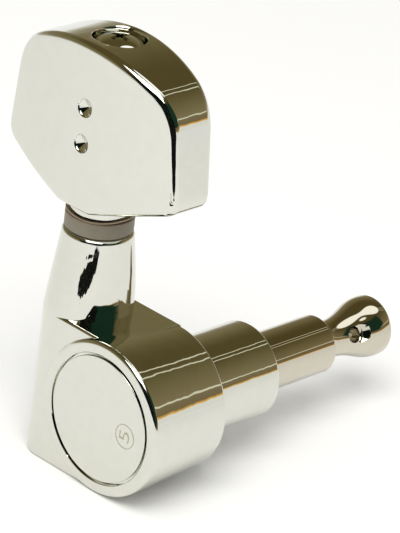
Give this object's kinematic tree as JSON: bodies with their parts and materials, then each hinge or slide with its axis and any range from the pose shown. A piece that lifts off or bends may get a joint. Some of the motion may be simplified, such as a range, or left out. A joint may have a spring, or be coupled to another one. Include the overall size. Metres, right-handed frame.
{
  "type": "guitar tuning machine",
  "caption": "Enclosed worm-gear string tuner: a keystone button turns a worm whose wheel turns a waisted string post through a headstock collar.",
  "frame": {"origin": "on the string post's axis, in the plane of the face that rests against the headstock", "axes": "+Y along the post towards its head, +Z along the worm shaft towards the button, +X away from the arm"},
  "size_m": [0.0281, 0.0391, 0.0439],
  "materials": {
    "chrome_body": "bright polished chrome plate",
    "chrome_screw": "chrome plated screw, slightly satin",
    "steel": "turned and ground steel, oiled",
    "bronze": "bronze, slightly darkened",
    "brass": "cut brass",
    "nylon": "warm grey moulded nylon"
  },
  "bodies": {
    "case": {"housing": "chrome_body", "cover_plate": "chrome_body", "locating_pin_upper": "steel", "locating_pin_lower": "steel", "post_bush": "bronze", "post_thrust_washer": "steel", "worm_lower_bush": "bronze", "worm_sleeve": "bronze", "arm_washer": "nylon"},
    "post": {"string_post": "chrome_body", "worm_wheel": "brass", "wheel_washer": "steel", "wheel_lock_washer": "steel", "wheel_screw": "steel"},
    "worm": {"worm_shaft": "steel", "worm_thrust_washer": "steel", "wave_washer": "bronze", "button": "chrome_body", "button_screw_washer": "steel", "button_screw": "chrome_screw"}
  },
  "joints": [
    {"name": "button_turn", "type": "hinge", "parent": "case", "child": "worm", "pos_m": [-0.00842, -0.00442, 0], "axis": [0, 0, 1], "continuous": true},
    {"name": "post_turn", "type": "hinge", "parent": "case", "child": "post", "pos_m": [0, 0, 0], "axis": [0, 1, 0], "continuous": true}
  ],
  "couplings": [
    {"joint": "post_turn", "follows": "button_turn", "ratio": -0.05}
  ]
}
